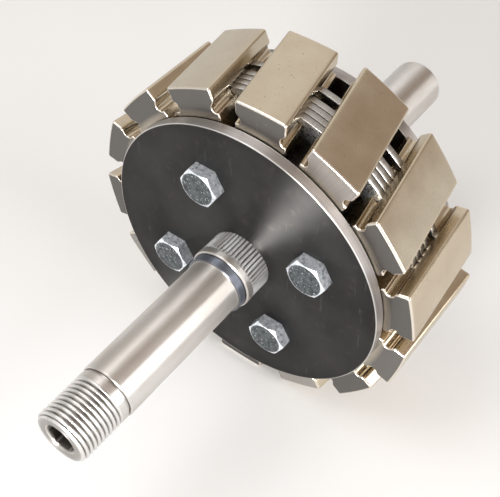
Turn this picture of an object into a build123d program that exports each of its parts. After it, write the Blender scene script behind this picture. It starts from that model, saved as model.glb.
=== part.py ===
from build123d import *
import math
import os

# Rotor of a permanent magnet alternator. Sizes are in millimetres.
# The shaft runs along Y with its threaded nose towards -Y, and +Z is up.
# The origin lies on the shaft axis, halfway along the drive-end bearing journal.

# Shaft
journal_r = 8.5
journal_len = 44.5
journal_chamfer = 0.3
thread_r = 8.25
thread_len = 13.1
thread_collar_len = 2.2
nose_lead = 1.3
nose_chamfer = 0.9
undercut_r = 7.5
undercut_len = 0.8
stop_ring_r = 9.25
stop_ring_len = 2.6
ring_recess_len = 0.25
ring_recess_depth = 0.35
land_r = 9.9
land_len = 2.2
land_chamfer = 0.35
knurl_tip_r = 9.8
knurl_depth = 0.5
knurl_teeth = 48
knurl_flat = 0.14
knurl_sink = 0.1
knurl_reach = 7.55
rear_journal_len = 45.75
rear_journal_r = 8.5
rear_end_round = 1.9
socket_af = 7.94
socket_depth = 9.0
socket_mouth_r = 4.9
socket_drill_depth = 2.4

# Drum
disc_r = 45.65
disc_t = 3.4
disc_edge = 0.25
drum_gap = 33.25
plate_rim_drop = 4.7
plate_t = 2.1
plate_gap = 0.12
stack_plates = 4
stack_start = 10.25
single_plate_start = 21.5
spacer_r = 34.0

# Magnets. The drops are taken from the crown, downwards along the magnet's middle plane.
magnet_count = 14
magnet_r = 54.4
crown_r = 100.0
magnet_half = 8.15
magnet_end_gap = 0.4
block_side_drop = 3.2
block_taper = 0.1
block_round_lean = 0.2
underside_half = 6.95
underside_drop = 5.2
neck_half = 6.4
neck_drop = 6.6
foot_half = 8.05
foot_top_half = 7.25
foot_top_drop = 7.8
foot_bottom_drop = 10.2
stem_half = 7.0
stem_drop = 14.9
magnet_edge = 0.8
skew_per_mm = -0.19
pocket_clear = 0.05

# Through bolts
bolt_circle_r = 27.1
bolt_count = 4
bolt_phase = -26.35
bolt_r = 3.175
bolt_hole_clear = 0.15
hex_af = 11.11
hex_crown_share = 0.95
hex_crown_angle = 30.0
head_h = 4.0
nut_h = 5.5
bolt_point = 1.8
bolt_tip_chamfer = 0.6

# Stations along the shaft, all taken from the front face of the drum
journal_end = journal_len / 2
drum_front = journal_end + stop_ring_len + land_len + knurl_reach
gap_front = drum_front + disc_t
gap_rear = gap_front + drum_gap
drum_rear = gap_rear + disc_t
drum_mid = (gap_front + gap_rear) / 2
plate_r = magnet_r - plate_rim_drop
magnet_pitch = 360.0 / magnet_count


def along_y(profile, start, length):
    """Extrude a sketch drawn in X and Z from the station start towards +Y."""
    plane = Plane(origin=(0, start, 0), x_dir=(1, 0, 0), z_dir=(0, -1, 0))
    return extrude(plane * profile, amount=-length)


def turned(points):
    """Revolve a closed outline of (radius, station) points about the shaft axis."""
    face = make_face(Polyline(*points, close=True))
    return revolve(face, axis=Axis.Y, revolution_arc=360)


def turn_about_shaft(shape, angle):
    """Turn a shape clockwise as seen from the nose."""
    return Rot(0, angle, 0) * shape


def knurl_outline():
    points = []
    step = 360.0 / knurl_teeth
    root_r = knurl_tip_r - knurl_depth
    for tooth in range(knurl_teeth):
        for place, radius in ((-knurl_flat, knurl_tip_r), (knurl_flat, knurl_tip_r), (0.5, root_r)):
            angle = math.radians((tooth + place) * step)
            points.append((radius * math.sin(angle), radius * math.cos(angle)))
    return make_face(Polyline(*points, close=True))


def make_shaft():
    core_r = knurl_tip_r - knurl_depth - knurl_sink
    nose_tip = -journal_end - undercut_len - thread_collar_len - thread_len - nose_lead
    land_start = journal_end + stop_ring_len
    knurl_start = drum_front - knurl_reach
    knurl_end = drum_rear + knurl_reach
    land_end = knurl_end + land_len
    ring_end = land_end + stop_ring_len
    shaft_end = ring_end + rear_journal_len + rear_end_round
    collar_start = -journal_end - undercut_len
    outline = [
        (0, nose_tip),
        (thread_r - nose_chamfer, nose_tip),
        (thread_r, nose_tip + nose_chamfer),
        (thread_r, collar_start),
        (undercut_r, collar_start),
        (undercut_r, -journal_end),
        (journal_r - journal_chamfer, -journal_end),
        (journal_r, -journal_end + journal_chamfer),
        (journal_r, journal_end),
        (stop_ring_r, journal_end),
        (stop_ring_r, land_start - ring_recess_len),
        (stop_ring_r - ring_recess_depth, land_start - ring_recess_len),
        (stop_ring_r - ring_recess_depth, land_start),
        (land_r - land_chamfer, land_start),
        (land_r, land_start + land_chamfer),
        (land_r, knurl_start),
        (core_r, knurl_start),
        (core_r, knurl_end),
        (land_r, knurl_end),
        (land_r, land_end - land_chamfer),
        (land_r - land_chamfer, land_end),
        (stop_ring_r - ring_recess_depth, land_end),
        (stop_ring_r - ring_recess_depth, land_end + ring_recess_len),
        (stop_ring_r, land_end + ring_recess_len),
        (stop_ring_r, ring_end),
        (rear_journal_r, ring_end),
        (rear_journal_r, shaft_end),
        (0, shaft_end),
    ]
    body = turned(outline)
    end_edge = body.edges().filter_by(GeomType.CIRCLE).sort_by(Axis.Y)[-1]
    body = fillet(end_edge, rear_end_round)
    body += along_y(knurl_outline(), knurl_start, knurl_end - knurl_start)
    socket = along_y(RegularPolygon(socket_af / 2, 6, major_radius=False), nose_tip, socket_depth)
    mouth = turned([
        (0, nose_tip),
        (socket_mouth_r, nose_tip),
        (socket_af / 2, nose_tip + socket_mouth_r - socket_af / 2),
        (socket_af / 2, nose_tip + socket_depth),
        (0, nose_tip + socket_depth + socket_drill_depth),
    ])
    body -= socket
    body -= mouth
    return body


def bolt_spots():
    spots = []
    for index in range(bolt_count):
        angle = math.radians(bolt_phase + 360.0 / bolt_count * index)
        spots.append((bolt_circle_r * math.sin(angle), bolt_circle_r * math.cos(angle)))
    return spots


def bored_round(radius, start, thickness):
    """A round plate on the knurl, with the four bolt holes through it."""
    face = Circle(radius) - Circle(knurl_tip_r)
    for x, z in bolt_spots():
        face -= Pos(x, z) * Circle(bolt_r + bolt_hole_clear)
    return along_y(face, start, thickness)


def make_disc(start):
    """An end disc, its rim broken on both sides."""
    disc = bored_round(disc_r, start, disc_t)
    rim = disc.edges().filter_by(lambda e: e.geom_type == GeomType.CIRCLE and e.radius > bolt_circle_r)
    return chamfer(rim, disc_edge)


def magnet_section():
    """Section of a pole magnet, radius upwards: crowned block, rounded neck, foot and stem."""
    corner_v = magnet_r - crown_r + math.sqrt(crown_r ** 2 - magnet_half ** 2)
    side_end = (magnet_half - block_taper, magnet_r - block_side_drop)
    underside = (underside_half, magnet_r - underside_drop)
    foot_top = magnet_r - foot_top_drop
    foot_bottom = magnet_r - foot_bottom_drop
    stem_bottom = magnet_r - stem_drop
    half = [
        Line((magnet_half, corner_v), side_end),
        TangentArc(side_end, underside, tangent=(-block_round_lean, -1)),
        ThreePointArc(underside, (neck_half, magnet_r - neck_drop), (foot_top_half, foot_top)),
        Line((foot_top_half, foot_top), (foot_half, foot_top)),
        Line((foot_half, foot_top), (foot_half, foot_bottom)),
        Line((foot_half, foot_bottom), (stem_half, foot_bottom)),
        Line((stem_half, foot_bottom), (stem_half, stem_bottom)),
        Line((stem_half, stem_bottom), (0, stem_bottom)),
    ]
    crown = ThreePointArc((-magnet_half, corner_v), (0, magnet_r), (magnet_half, corner_v))
    return make_face([crown, *half, *[mirror(piece, about=Plane.YZ) for piece in half]])


def pocket_section():
    """The straight-sided pocket for a magnet's neck, foot and stem, open at the plate's rim."""
    foot_top = magnet_r - foot_top_drop + pocket_clear
    foot_bottom = magnet_r - foot_bottom_drop - pocket_clear
    stem_bottom = magnet_r - stem_drop - pocket_clear
    right = [
        (underside_half + pocket_clear, magnet_r),
        (underside_half + pocket_clear, magnet_r - underside_drop),
        (neck_half + pocket_clear, magnet_r - neck_drop),
        (foot_top_half + pocket_clear, foot_top),
        (foot_half + pocket_clear, foot_top),
        (foot_half + pocket_clear, foot_bottom),
        (stem_half + pocket_clear, foot_bottom),
        (stem_half + pocket_clear, stem_bottom),
    ]
    left = [(-u, v) for u, v in reversed(right)]
    return make_face(Polyline(*right, *left, close=True))


def skewed(profile, start, end):
    """Extrude a section along the skewed magnet direction between two stations."""
    shift = skew_per_mm * (start - drum_mid)
    plane = Plane(origin=(shift, start, 0), x_dir=(1, 0, 0), z_dir=(0, -1, 0))
    lean = Vector(skew_per_mm, 1, 0)
    return extrude(plane * profile, amount=(end - start) * lean.length, dir=lean.normalized())


def make_magnet():
    """A skewed pole magnet, rounded all round its crown and down the sides of its end faces."""
    solid = skewed(magnet_section(), gap_front + magnet_end_gap, gap_rear - magnet_end_gap)
    crown = solid.faces().sort_by(Axis.Z)[-1]
    corners = crown.vertices()
    block = solid.edges().filter_by(
        lambda e: any(v.distance_to(c) < magnet_edge / 10 for v in e.vertices() for c in corners))
    return fillet(block, magnet_edge)


def make_plate(start):
    """A core plate with one skewed pocket for every magnet, its lips reaching into the necks."""
    pocket = skewed(pocket_section(), start, start + plate_t)
    pockets = [turn_about_shaft(pocket, index * magnet_pitch) for index in range(magnet_count)]
    return bored_round(plate_r, start, plate_t) - pockets


def hex_piece(start, height, crowned_end):
    """A hexagon with its corners turned off at the free end."""
    prism = along_y(RegularPolygon(hex_af / 2, 6, major_radius=False), start, height)
    corner_r = hex_af / math.sqrt(3)
    flat_r = hex_af / 2 * hex_crown_share
    drop = (corner_r - flat_r) * math.tan(math.radians(hex_crown_angle))
    if crowned_end < 0:
        cone = turned([(0, start), (flat_r, start), (corner_r, start + drop), (corner_r, start + height),
                       (0, start + height)])
    else:
        cone = turned([(0, start), (corner_r, start), (corner_r, start + height - drop),
                       (flat_r, start + height), (0, start + height)])
    return prism & cone


def make_bolt():
    head = hex_piece(drum_front - head_h, head_h, -1)
    tip = drum_rear + nut_h + bolt_point
    shank = turned([(0, drum_front - head_h / 2), (bolt_r, drum_front - head_h / 2),
                    (bolt_r, tip - bolt_tip_chamfer), (bolt_r - bolt_tip_chamfer, tip), (0, tip)])
    return head + shank


def make_nut():
    nut = hex_piece(drum_rear, nut_h, 1)
    return nut - along_y(Circle(bolt_r), drum_rear - 1, nut_h + 2)


def save(shape, node):
    export_step(shape, "parts/" + node + ".step")


os.makedirs("parts", exist_ok=True)

save(make_shaft(), "shaft")
save(make_disc(drum_front), "front_disc")
save(make_disc(gap_rear), "rear_disc")

single_start = gap_front + single_plate_start
plate_starts = [gap_front + stack_start + number * (plate_t + plate_gap) for number in range(stack_plates)]
stack_end = plate_starts[-1] + plate_t
for number, start in enumerate([*plate_starts, single_start]):
    save(make_plate(start), f"core_plate_{number + 1}")

spans = [
    (gap_front, plate_starts[0]),
    (stack_end, single_start),
    (single_start + plate_t, gap_rear),
]
for number, (low, high) in enumerate(spans):
    save(bored_round(spacer_r, low, high - low), f"spacer_{number + 1}")

magnet = make_magnet()
for number in range(magnet_count):
    save(turn_about_shaft(magnet, number * magnet_pitch), f"magnet_{number + 1:02d}")

bolt = make_bolt()
nut = make_nut()
for number, (x, z) in enumerate(bolt_spots()):
    save(Pos(x, 0, z) * bolt, f"bolt_{number + 1}")
    save(Pos(x, 0, z) * nut, f"nut_{number + 1}")
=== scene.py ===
import math
import bpy
import bmesh
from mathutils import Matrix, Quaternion, Vector


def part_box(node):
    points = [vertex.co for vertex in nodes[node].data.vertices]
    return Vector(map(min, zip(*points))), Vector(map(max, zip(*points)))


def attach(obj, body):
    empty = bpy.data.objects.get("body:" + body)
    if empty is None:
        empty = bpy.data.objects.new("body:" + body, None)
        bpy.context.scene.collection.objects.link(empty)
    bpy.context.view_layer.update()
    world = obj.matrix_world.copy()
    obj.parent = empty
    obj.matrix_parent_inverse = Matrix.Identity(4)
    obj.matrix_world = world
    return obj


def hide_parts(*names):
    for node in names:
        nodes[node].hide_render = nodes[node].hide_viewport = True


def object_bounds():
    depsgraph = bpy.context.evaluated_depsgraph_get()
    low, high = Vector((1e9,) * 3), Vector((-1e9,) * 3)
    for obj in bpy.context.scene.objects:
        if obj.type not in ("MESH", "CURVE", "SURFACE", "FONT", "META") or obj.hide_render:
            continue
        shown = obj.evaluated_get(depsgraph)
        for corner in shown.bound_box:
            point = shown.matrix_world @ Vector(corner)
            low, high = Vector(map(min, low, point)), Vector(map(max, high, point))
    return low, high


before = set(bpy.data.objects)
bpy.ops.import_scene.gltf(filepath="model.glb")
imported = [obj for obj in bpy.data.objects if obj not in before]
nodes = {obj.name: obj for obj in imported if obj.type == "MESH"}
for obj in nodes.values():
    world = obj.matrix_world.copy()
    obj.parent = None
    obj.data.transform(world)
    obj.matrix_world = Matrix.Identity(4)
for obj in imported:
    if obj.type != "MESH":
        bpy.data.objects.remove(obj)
cad_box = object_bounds()
MM = 0.001

# Stations along the shaft and radii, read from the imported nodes, in metres
SHAFT_LOW, SHAFT_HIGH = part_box("shaft")
FRONT_LOW, FRONT_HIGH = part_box("front_disc")
REAR_LOW, REAR_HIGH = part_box("rear_disc")
MAGNET_LOW, MAGNET_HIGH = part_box("magnet_01")
DRUM_MID = (FRONT_HIGH.y + REAR_LOW.y) / 2
NOSE_TIP = SHAFT_LOW.y
SHAFT_END = SHAFT_HIGH.y
MAGNET_R = MAGNET_HIGH.z
DISC_R = FRONT_HIGH.z
PLATE_NODES = sorted(name for name in nodes if name.startswith("core_plate"))
MAGNET_NODES = sorted(name for name in nodes if name.startswith("magnet"))
BOLT_NODES = sorted(name for name in nodes if name.startswith("bolt"))
NUT_NODES = sorted(name for name in nodes if name.startswith("nut"))
SPACER_NODES = sorted(name for name in nodes if name.startswith("spacer"))

# Shaft, in metres
JOURNAL_R = 8.5 * MM
JOURNAL_END = 22.25 * MM
JOURNAL_CHAMFER = 0.3 * MM
THREAD_R = 8.25 * MM
THREAD_DEPTH = 0.72 * MM
THREAD_PITCH = 1.41 * MM
NOSE_CHAMFER = 0.9 * MM
NOSE_BORE_R = 6.5 * MM
THREAD_RUNOUT = 0.9 * MM
COLLAR_LENGTH = 2.2 * MM
UNDERCUT_R = 7.5 * MM
UNDERCUT_LENGTH = 0.8 * MM
RING_R = 9.25 * MM
RING_LENGTH = 2.6 * MM
RING_RECESS = 0.25 * MM
RING_RECESS_DEPTH = 0.35 * MM
LAND_R = 9.9 * MM
LAND_LENGTH = 2.2 * MM
LAND_CHAMFER = 0.35 * MM
KNURL_R = 9.8 * MM
KNURL_DEPTH = 0.5 * MM
KNURL_RIBS = 48
KNURL_CREST = 0.28
KNURL_FADE = 1.0 * MM
KNURL_BORE_R = 9.0 * MM
KNURL_REACH = 7.55 * MM
KNURL_IN_DISC = 1.5 * MM
NO_FADE = 0.01 * MM
NO_CHAMFER = 1.0
REAR_ROUND = 1.9 * MM
SOCKET_HALF = 3.97 * MM
SOCKET_DEPTH = 9.0 * MM
SOCKET_MOUTH_R = 4.9 * MM
SOCKET_DRILL = 2.4 * MM
SOCKET_MOUTH_DEPTHS = (1.2, 0.93, 0.8, 0.7, 0.6, 0.5, 0.4, 0.3, 0.2, 0.1, 0.0)
SHAFT_POINTS = 144

# Discs, in metres
DISC_EDGE = 0.25 * MM
DISC_SUPPORT = 0.2 * MM
DISC_FLAT_RIM = 1.2 * MM
DISC_POINTS = 256

# Magnets: drops from the crown, in metres
MAGNET_HALF = 8.15 * MM
CROWN_R = 100.0 * MM
BLOCK_SIDE_DROP = 3.2 * MM
BLOCK_TAPER = 0.1 * MM
UNDERSIDE_HALF = 6.95 * MM
UNDERSIDE_DROP = 5.2 * MM
NECK_HALF = 6.4 * MM
NECK_DROP = 6.6 * MM
FOOT_HALF = 8.05 * MM
FOOT_TOP_HALF = 7.25 * MM
FOOT_TOP_DROP = 7.8 * MM
FOOT_BOTTOM_DROP = 10.2 * MM
STEM_HALF = 7.0 * MM
STEM_DROP = 14.9 * MM
CROWN_EDGE = 0.8 * MM
END_EDGE = 0.62 * MM
FOOT_EDGE = 0.38 * MM
SKEW = -0.19
POCKET_CLEAR = 0.05 * MM
PLATE_RIM_DROP = 4.7 * MM
PLATE_R = MAGNET_R - PLATE_RIM_DROP
PLATE_EDGE = 0.28 * MM
PLATE_BORE_R = 33.0 * MM
PLATE_BORE_POINTS = 112

# Through bolts, in metres
BOLT_CIRCLE_R = 27.1 * MM
BOLT_PHASE = math.radians(-26.35)
BOLT_R = 3.175 * MM
BOLT_PITCH = 1.27 * MM
BOLT_THREAD_DEPTH = 0.5 * MM
HEX_HALF = 5.555 * MM
HEX_CROWN_SHARE = 0.95
HEX_CROWN_ANGLE = math.radians(30.0)
HEAD_HEIGHT = 4.0 * MM
NUT_HEIGHT = 5.5 * MM
BOLT_POINT = 1.8 * MM
BOLT_TIP_CHAMFER = 0.6 * MM
BOLT_CORE_SHARE = 0.9
HEX_POINTS = 144
HEX_CONE_ROWS = 14
THREAD_SUNK = 0.5 * MM

# Camera, from the fit of the photograph
CAMERA_PLACE = Vector((0.11438, FRONT_LOW.y - 0.15041, 0.21957))
CAMERA_AIM = Vector((-0.39242, 0.53114, -0.75093))
CAMERA_ROLL = math.radians(0.65)
FOCAL_PIXELS = 1007.8
PHOTO_WIDTH = 500.0
SENSOR_WIDTH = 36.0
BACKDROP = (0.80, 0.80, 0.80)


# Camera, light and floor

def place_camera():
    data = bpy.data.cameras.new("photo_camera")
    data.sensor_width = SENSOR_WIDTH
    data.lens = SENSOR_WIDTH * FOCAL_PIXELS / PHOTO_WIDTH
    data.clip_start = 0.01
    data.clip_end = 20.0
    camera = bpy.data.objects.new("photo_camera", data)
    camera.location = CAMERA_PLACE
    camera.rotation_mode = "QUATERNION"
    roll = Quaternion((0.0, 0.0, 1.0), CAMERA_ROLL)
    camera.rotation_quaternion = CAMERA_AIM.to_track_quat("-Z", "Y") @ roll
    bpy.context.scene.collection.objects.link(camera)
    bpy.context.scene.camera = camera


def soft_lamp(name, direction, distance, width, height, power):
    """A rectangular soft box that faces the middle of the rotor."""
    target = Vector((0.0, DRUM_MID, 0.0))
    data = bpy.data.lights.new(name, "AREA")
    data.shape = "RECTANGLE"
    data.size = width
    data.size_y = height
    data.energy = power
    lamp = bpy.data.objects.new(name, data)
    lamp.location = target + Vector(direction).normalized() * distance
    lamp.rotation_mode = "QUATERNION"
    lamp.rotation_quaternion = (target - lamp.location).to_track_quat("-Z", "Y")
    bpy.context.scene.collection.objects.link(lamp)


# Small helpers for node trees

def add(tree, kind, **settings):
    node = tree.nodes.new(kind)
    for setting, value in settings.items():
        setattr(node, setting, value)
    return node


def feed(tree, socket, value):
    """Give a socket a fixed value, or wire another node's output to it. Colours are made opaque."""
    if isinstance(value, bpy.types.NodeSocket):
        tree.links.new(value, socket)
    elif socket.type == "RGBA":
        socket.default_value = (*value, 1.0)
    else:
        socket.default_value = value


def calc(tree, operation, *values):
    node = add(tree, "ShaderNodeMath", operation=operation)
    for socket, value in zip(node.inputs, values):
        feed(tree, socket, value)
    return node.outputs[0]


def spread(tree, value, low, high, new_low, new_high):
    """Stretch the range low to high onto new_low to new_high, held at both ends."""
    node = add(tree, "ShaderNodeMapRange")
    for socket, number in zip(node.inputs, (value, low, high, new_low, new_high)):
        feed(tree, socket, number)
    return node.outputs[0]


def blend_colours(tree, share, first, second):
    node = add(tree, "ShaderNodeMix", data_type="RGBA")
    feed(tree, node.inputs[0], share)
    feed(tree, node.inputs[6], first)
    feed(tree, node.inputs[7], second)
    return node.outputs[2]


def mottled(tree, pattern, first, second):
    """Two colours mixed by a noise pattern."""
    return blend_colours(tree, spread(tree, pattern, 0.35, 0.65, 0.0, 1.0), first, second)


def tinted(tree, colour, share, strength, tint):
    """Lay a tint over a colour where share is high."""
    return blend_colours(tree, calc(tree, "MULTIPLY", share, strength), colour, tint)


def stretched(tree, place, stretch):
    node = add(tree, "ShaderNodeVectorMath", operation="MULTIPLY")
    feed(tree, node.inputs[0], place)
    feed(tree, node.inputs[1], stretch)
    return node.outputs[0]


def grain(tree, place, scale, detail=3.0):
    node = add(tree, "ShaderNodeTexNoise")
    feed(tree, node.inputs["Vector"], place)
    feed(tree, node.inputs["Scale"], scale)
    feed(tree, node.inputs["Detail"], detail)
    return node.outputs[0]


def radius_on_piece(tree, place):
    """Distance from the shaft axis, in metres."""
    flat = stretched(tree, place, (1.0, 0.0, 1.0))
    node = add(tree, "ShaderNodeVectorMath", operation="LENGTH")
    feed(tree, node.inputs[0], flat)
    return node.outputs["Value"]


def end_face_share(tree, normal, low, high, most=1.0):
    """0 where a surface faces away from the shaft's line, most where it faces along it."""
    parts = add(tree, "ShaderNodeSeparateXYZ")
    feed(tree, parts.inputs[0], normal)
    return spread(tree, calc(tree, "ABSOLUTE", parts.outputs["Y"]), low, high, 0.0, most)


def named_value(tree, name):
    node = add(tree, "ShaderNodeAttribute", attribute_name=name)
    return node.outputs["Fac"]


# Materials

class Finish:
    """A metal finish under construction: its tree, its shader and the surface's coordinates."""

    def __init__(self, name, metallic=1.0, anisotropic=0.0):
        self.material = bpy.data.materials.new(name)
        self.material.use_nodes = True
        self.tree = self.material.node_tree
        self.shader = self.tree.nodes["Principled BSDF"]
        self.shader.inputs["Metallic"].default_value = metallic
        self.shader.inputs["Anisotropic"].default_value = anisotropic
        self.shader.inputs["Anisotropic Rotation"].default_value = 0.25 if anisotropic else 0.0
        coordinates = add(self.tree, "ShaderNodeTexCoord")
        self.place = coordinates.outputs["Object"]
        self.normal = coordinates.outputs["Normal"]

    def paint(self, colour, roughness):
        feed(self.tree, self.shader.inputs["Base Color"], colour)
        feed(self.tree, self.shader.inputs["Roughness"], roughness)

    def relief(self, height, depth):
        """Bump from a height of 0 to 1 that stands for depth in metres."""
        bump = add(self.tree, "ShaderNodeBump")
        bump.inputs["Strength"].default_value = 1.0
        bump.inputs["Distance"].default_value = depth
        feed(self.tree, bump.inputs["Height"], height)
        feed(self.tree, self.shader.inputs["Normal"], bump.outputs[0])


def ground_steel(name, light, dark, rough_low, rough_high, anisotropic=0.9):
    """Steel ground or turned about the shaft axis, with fine marks round it; a painted highlight on
    rounded edges and crests, painted shade in the grooves and inside the nose socket, and end faces
    painted darker as shade.
    """
    finish = Finish(name, anisotropic=anisotropic)
    tree = finish.tree
    if anisotropic:
        tangent = add(tree, "ShaderNodeTangent", direction_type="RADIAL", axis="Y")
        feed(tree, finish.shader.inputs["Tangent"], tangent.outputs[0])
    lines = grain(tree, stretched(tree, finish.place, (8.0, 9000.0, 8.0)), 1.0)
    patches = grain(tree, stretched(tree, finish.place, (1.0, 0.25, 1.0)), 150.0)
    pits = spread(tree, grain(tree, finish.place, 2600.0, 1.0), 0.72, 0.78, 0.0, 1.0)
    worn_and_lit = named_value(tree, "edge_wear_and_highlight")
    groove_shade = named_value(tree, "painted_groove_shade")
    colour = mottled(tree, patches, dark, light)
    colour = blend_colours(tree, spread(tree, lines, 0.3, 0.7, 0.0, 0.25), colour, dark)
    colour = tinted(tree, colour, pits, 0.5, (0.16, 0.14, 0.12))
    # Painted highlight along rounded edges and thread and knurl crests, standing also for edge wear.
    colour = tinted(tree, colour, worn_and_lit, 0.6, (0.74, 0.73, 0.71))
    # Painted shade in the thread and knurl grooves.
    colour = tinted(tree, colour, groove_shade, 0.85, (0.05, 0.045, 0.04))
    parts = add(tree, "ShaderNodeSeparateXYZ")
    feed(tree, parts.inputs[0], finish.place)
    # Painted shade inside the nose socket: narrow radius near the nose tip.
    narrow = spread(tree, radius_on_piece(tree, finish.place), 4.3 * MM, 4.75 * MM, 1.0, 0.0)
    near_nose = spread(tree, parts.outputs["Y"], NOSE_TIP + 13 * MM, NOSE_TIP + 14 * MM, 1.0, 0.0)
    in_socket = calc(tree, "MULTIPLY", narrow, near_nose)
    # Faces along the shaft's line painted darker, as shade.
    end_face = end_face_share(tree, finish.normal, 0.90, 0.98, 0.6)
    colour = blend_colours(tree, end_face, colour, (0.16, 0.15, 0.14))
    colour = tinted(tree, colour, in_socket, 0.95, (0.035, 0.028, 0.022))
    roughness = spread(tree, lines, 0.3, 0.7, rough_low, rough_high)
    roughness = calc(tree, "ADD", roughness, calc(tree, "MULTIPLY", pits, 0.2))
    roughness = calc(tree, "ADD", roughness, calc(tree, "MULTIPLY", groove_shade, 0.25))
    finish.paint(colour, roughness)
    finish.relief(calc(tree, "SUBTRACT", lines, calc(tree, "MULTIPLY", pits, 0.5)), 0.0000015)
    return finish.material


def nickel_plating(name):
    """Bright nickel on the magnets: warm crowns with specks and painted glints, a painted highlight along
    the rounded edges, and brushed end faces painted as a reflection: dark near the crown, beige near the
    foot.
    """
    finish = Finish(name)
    tree = finish.tree
    light, dark = (0.68, 0.60, 0.47), (0.52, 0.43, 0.32)
    number = named_value(tree, "piece_number")
    piece = add(tree, "ShaderNodeTexWhiteNoise", noise_dimensions="1D")
    feed(tree, piece.inputs["W"], number)
    patches = grain(tree, finish.place, 130.0)
    peel = grain(tree, finish.place, 1400.0, 4.0)
    specks = spread(tree, grain(tree, finish.place, 1900.0, 1.0), 0.70, 0.76, 0.0, 1.0)
    # Painted glints: small bright spots where the patches are light.
    painted_glints = spread(tree, grain(tree, finish.place, 3000.0, 1.0), 0.75, 0.79, 0.0, 1.0)
    painted_glints = calc(tree, "MULTIPLY", painted_glints, spread(tree, patches, 0.48, 0.6, 0.0, 1.0))
    outward = add(tree, "ShaderNodeVectorMath", operation="NORMALIZE")
    feed(tree, outward.inputs[0], stretched(tree, finish.place, (1.0, 0.0, 1.0)))
    brushing = grain(tree, outward.outputs[0], 330.0)
    worn_and_lit = named_value(tree, "edge_wear_and_highlight")
    tint = calc(tree, "ADD", spread(tree, patches, 0.2, 0.8, 0.1, 0.6),
                calc(tree, "MULTIPLY", piece.outputs["Value"], 0.3))
    colour = blend_colours(tree, tint, dark, light)
    # End faces painted as a reflection: dark near the crown, lighter grey on some pieces, beige near the
    # foot as a painted reflection of the disc rim.
    end_face = end_face_share(tree, finish.normal, 0.85, 0.97)
    radius = radius_on_piece(tree, finish.place)
    upper = spread(tree, radius, MAGNET_R - 8.6 * MM, MAGNET_R - 6.4 * MM, 0.0, 1.0)
    turn = calc(tree, "FRACT", calc(tree, "MULTIPLY_ADD", number, 0.618, 0.66))
    brushed = spread(tree, turn, 0.72, 0.88, 0.0, 1.0)
    painted_end_reflection = blend_colours(tree, brushed, (0.045, 0.044, 0.044), (0.40, 0.38, 0.36))
    painted_end_reflection = blend_colours(tree, upper, (0.50, 0.44, 0.35), painted_end_reflection)
    painted_end_reflection = blend_colours(tree, spread(tree, brushing, 0.3, 0.7, 0.0, 0.35), painted_end_reflection,
                               (0.06, 0.06, 0.062))
    colour = blend_colours(tree, end_face, colour, painted_end_reflection)
    colour = tinted(tree, colour, specks, 0.7, (0.14, 0.11, 0.08))
    # Painted highlight along the rounded edges, standing also for edge wear.
    colour = tinted(tree, colour, worn_and_lit, 0.75, (0.86, 0.80, 0.72))
    # Painted glints laid over the colour.
    colour = tinted(tree, colour, painted_glints, 0.6, (0.92, 0.84, 0.80))
    roughness = spread(tree, patches, 0.3, 0.7, 0.20, 0.27)
    roughness = calc(tree, "ADD", roughness, calc(tree, "MULTIPLY", specks, 0.3))
    roughness = calc(tree, "ADD", roughness, calc(tree, "MULTIPLY", end_face, 0.1))
    finish.paint(colour, roughness)
    height = calc(tree, "ADD", peel, calc(tree, "MULTIPLY", end_face, brushing))
    finish.relief(calc(tree, "SUBTRACT", height, specks), 0.000001)
    return finish.material


def disc_steel(name):
    """Polished disc: face painted near-black as a dark reflection, with fine turned rings, brighter
    turned rim, and a painted highlight on the rounded rim edges.
    """
    finish = Finish(name, anisotropic=1.0)
    tree = finish.tree
    tangent = add(tree, "ShaderNodeTangent", direction_type="RADIAL", axis="Y")
    feed(tree, finish.shader.inputs["Tangent"], tangent.outputs[0])
    radius = radius_on_piece(tree, finish.place)
    rings = add(tree, "ShaderNodeTexNoise", noise_dimensions="1D")
    feed(tree, rings.inputs["W"], calc(tree, "MULTIPLY", radius, 5200.0))
    feed(tree, rings.inputs["Scale"], 1.0)
    feed(tree, rings.inputs["Detail"], 3.0)
    rim_lines = grain(tree, stretched(tree, finish.place, (50.0, 6000.0, 50.0)), 1.0)
    on_rim = spread(tree, radius, DISC_R - 0.32 * MM, DISC_R - 0.22 * MM, 0.0, 1.0)
    near_rim = spread(tree, radius, DISC_R - 4.5 * MM, DISC_R - 0.6 * MM, 0.0, 1.0)
    patches = grain(tree, finish.place, 60.0, 4.0)
    stains = spread(tree, grain(tree, finish.place, 260.0, 5.0), 0.58, 0.72, 0.0, 1.0)
    scratches = grain(tree, stretched(tree, finish.place, (700.0, 700.0, 90.0)), 1.0)
    scuffs = spread(tree, scratches, 0.66, 0.72, 0.0, 1.0)
    worn_and_lit = named_value(tree, "edge_wear_and_highlight")
    # Face painted near-black as a reflection of dark surroundings, darker still towards the rim.
    face = mottled(tree, patches, (0.038, 0.037, 0.036), (0.060, 0.058, 0.056))
    face = tinted(tree, face, near_rim, 0.45, (0.035, 0.034, 0.033))
    face = tinted(tree, face, stains, 0.35, (0.12, 0.105, 0.09))
    face = tinted(tree, face, scuffs, 0.12, (0.30, 0.30, 0.29))
    rim = blend_colours(tree, spread(tree, rim_lines, 0.3, 0.7, 0.0, 1.0), (0.34, 0.31, 0.295),
                        (0.52, 0.485, 0.465))
    colour = blend_colours(tree, on_rim, face, rim)
    # Painted highlight along the rounded rim edges, standing also for edge wear.
    colour = tinted(tree, colour, worn_and_lit, 0.7, (0.92, 0.91, 0.9))
    roughness = calc(tree, "ADD", spread(tree, rings.outputs[0], 0.3, 0.7, 0.36, 0.46),
                     calc(tree, "MULTIPLY", stains, 0.08))
    finish.paint(colour, roughness)
    lines = calc(tree, "ADD", calc(tree, "MULTIPLY", on_rim, rim_lines),
                 calc(tree, "MULTIPLY", calc(tree, "SUBTRACT", 1.0, on_rim), rings.outputs[0]))
    finish.relief(lines, 0.000003)
    return finish.material


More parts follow.
